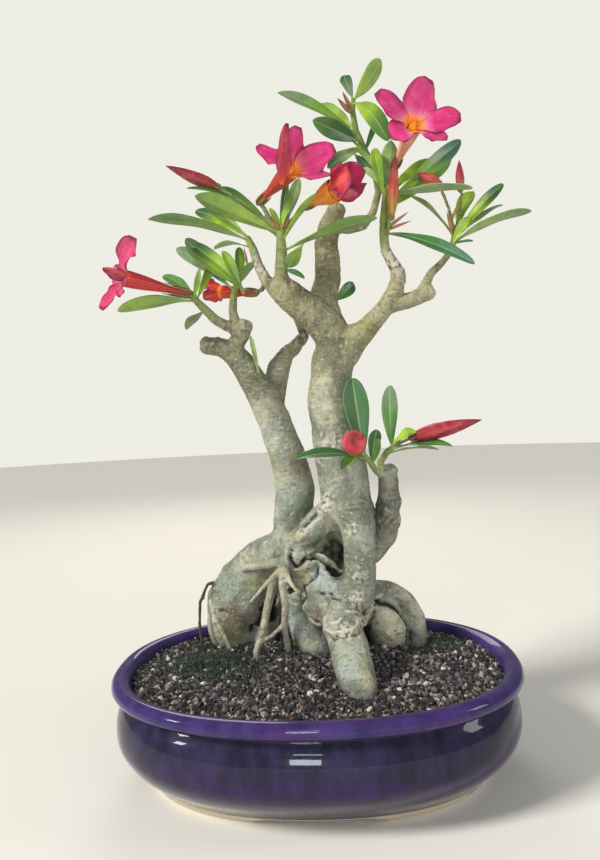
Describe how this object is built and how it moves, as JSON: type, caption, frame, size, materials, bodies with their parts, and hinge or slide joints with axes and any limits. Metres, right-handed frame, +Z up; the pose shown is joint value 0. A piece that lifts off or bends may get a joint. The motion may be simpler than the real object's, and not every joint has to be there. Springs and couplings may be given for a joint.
{
  "type": "potted desert rose",
  "caption": "Potted desert rose: a swollen trunk on bare roots in an oval glazed pot of gritty soil, with twigs that carry glossy leaves, trumpet flowers and buds.",
  "frame": {"origin": "middle of the whole plant and pot seen from above, on the surface the pot stands on", "axes": "+Z up, +X along the pot's long side, +Y from the front of the pot to its back"},
  "size_m": [0.3192, 0.23, 0.5402],
  "materials": {
    "glaze": "gloss",
    "soil": "matte",
    "moss": "matte",
    "screen": "matte",
    "bark": "matte",
    "leaf": "satin",
    "petal": "satin",
    "bud": "satin"
  },
  "bodies": {
    "root": {"bud_far": "bud", "bud_left": "bud", "bud_round": "bud", "bud_shoot": "bud", "bud_side": "bud", "bud_upright": "bud", "drain_screen_left": "screen", "drain_screen_right": "screen", "flower_centre": "petal", "flower_fading": "petal", "flower_hidden": "petal", "flower_left": "petal", "flower_top": "petal", "leaf_back_1": "leaf", "leaf_centre_1": "leaf", "leaf_centre_2": "leaf", "leaf_centre_3": "leaf", "leaf_centre_4": "leaf", "leaf_centre_5": "leaf", "leaf_centre_6": "leaf", "leaf_far_right_1": "leaf", "leaf_far_right_2": "leaf", "leaf_far_right_3": "leaf", "leaf_far_right_4": "leaf", "leaf_far_right_5": "leaf", "leaf_low_left_1": "leaf", "leaf_low_left_2": "leaf", "leaf_low_left_3": "leaf", "leaf_low_left_4": "leaf", "leaf_mid_left_1": "leaf", "leaf_mid_left_2": "leaf", "leaf_mid_left_3": "leaf", "leaf_mid_left_4": "leaf", "leaf_right_1": "leaf", "leaf_right_2": "leaf", "leaf_right_3": "leaf", "leaf_right_4": "leaf", "leaf_right_5": "leaf", "leaf_shoot_1": "leaf", "leaf_shoot_2": "leaf", "leaf_shoot_3": "leaf", "leaf_shoot_4": "leaf", "leaf_shoot_5": "leaf", "leaf_shoot_6": "leaf", "leaf_top_1": "leaf", "leaf_top_2": "leaf", "leaf_top_3": "leaf", "leaf_top_4": "leaf", "leaf_top_5": "leaf", "leaf_top_6": "leaf", "leaf_top_7": "leaf", "leaf_top_8": "leaf", "leaf_upper_left_1": "leaf", "leaf_upper_left_2": "leaf", "leaf_upper_left_3": "leaf", "moss_left": "moss", "moss_right": "moss", "pot": "glaze", "soil": "soil", "trunk": "bark"}
  },
  "joints": []
}
